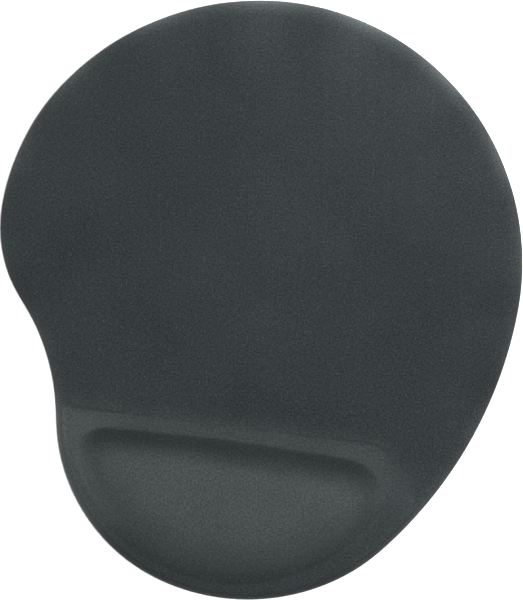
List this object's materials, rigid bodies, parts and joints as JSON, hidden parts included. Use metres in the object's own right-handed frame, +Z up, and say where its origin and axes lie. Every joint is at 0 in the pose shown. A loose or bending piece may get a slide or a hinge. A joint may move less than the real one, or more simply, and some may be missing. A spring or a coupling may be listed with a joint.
{
  "type": "wrist rest",
  "caption": "Kidney-shaped mouse pad with a soft gel wrist rest built in along the user's edge, covered all over in one piece of dark stretch knit.",
  "frame": {"origin": "on the desk, under the middle of the pad's outline", "axes": "+Z up from the desk, +Y away from the user across the mousing area, +X to the user's right; the gel rest is at -Y"},
  "size_m": [0.2052, 0.2354, 0.0195],
  "materials": {
    "knit_fabric": "fine stretch knit, dark slate grey, matt",
    "base_rubber": "black non-slip sheet with a fine embossed grip pattern",
    "sponge": "closed-cell sponge, matt black",
    "board": "thin firm board, matt white",
    "film": "clear flexible film",
    "gel": "clear soft gel",
    "adhesive": "dry glue film"
  },
  "bodies": {
    "root": {"base_sheet": "base_rubber", "base_adhesive": "adhesive", "surface_core": "sponge", "hem_adhesive": "adhesive", "surface_adhesive": "adhesive", "board_adhesive": "adhesive", "rest_backing_board": "board", "gel_base_film": "film", "gel_fill": "gel", "gel_top_film": "film", "cover_fabric": "knit_fabric"}
  },
  "joints": []
}
